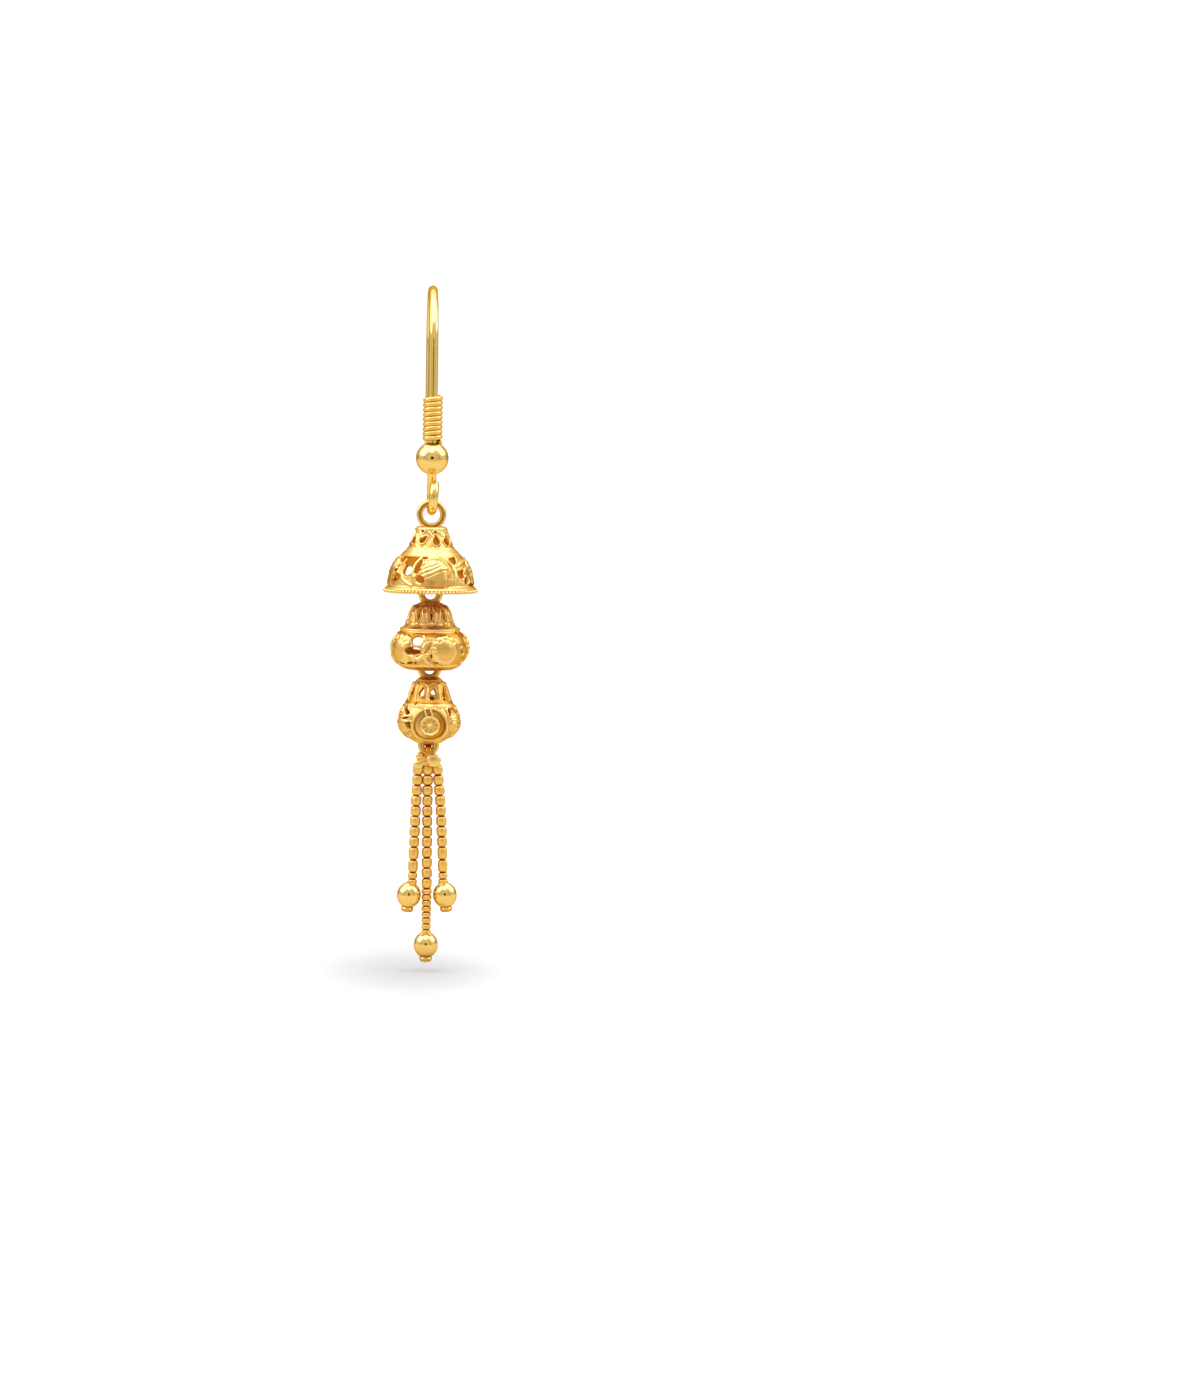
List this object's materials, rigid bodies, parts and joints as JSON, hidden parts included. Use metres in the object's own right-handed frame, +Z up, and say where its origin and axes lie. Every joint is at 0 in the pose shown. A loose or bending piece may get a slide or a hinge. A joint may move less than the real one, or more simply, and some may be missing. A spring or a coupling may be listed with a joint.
{
  "type": "drop earring",
  "caption": "Tiered gold drop earring: fish hook with coil and bead, pierced bell, two pierced lanterns and a tassel of bead chains ending in polished balls.",
  "frame": {"origin": "inside top of the hook's arch, where the ear carries it", "axes": "+Z up along the hanging earring, -Y the front that faces the viewer, +X the wearer's side to side"},
  "size_m": [0.0076, 0.0137, 0.0553],
  "materials": {
    "polished_gold": "mirror polished yellow gold",
    "cast_gold": "satin cast yellow gold, orange in the recesses",
    "bead_gold": "soft polished yellow gold beads"
  },
  "bodies": {
    "hook": {"ear_hook": "polished_gold", "hook_coil": "polished_gold", "hook_bead": "polished_gold"},
    "bell": {"upper_bell": "cast_gold"},
    "middle": {"middle_lantern": "cast_gold"},
    "lower": {"lower_lantern": "cast_gold", "tassel_yoke": "cast_gold", "left_chain_1": "bead_gold", "left_chain_2": "bead_gold", "left_chain_3": "bead_gold", "left_ball": "polished_gold", "middle_chain_1": "bead_gold", "middle_chain_2": "bead_gold", "middle_chain_3": "bead_gold", "middle_chain_4": "bead_gold", "middle_ball": "polished_gold", "right_chain_1": "bead_gold", "right_chain_2": "bead_gold", "right_chain_3": "bead_gold", "right_ball": "polished_gold"}
  },
  "joints": [
    {"name": "drop_swing", "type": "hinge", "parent": "hook", "child": "bell", "pos_m": [0, -0.0045, -0.01756], "axis": [0, 1, 0], "range_deg": [-60, 60]},
    {"name": "middle_swing", "type": "hinge", "parent": "bell", "child": "middle", "pos_m": [0, -0.0045, -0.02405], "axis": [0, 1, 0], "range_deg": [-35, 35]},
    {"name": "lower_swing", "type": "hinge", "parent": "middle", "child": "lower", "pos_m": [0, -0.0045, -0.0302], "axis": [0, 1, 0], "range_deg": [-25, 25]}
  ]
}
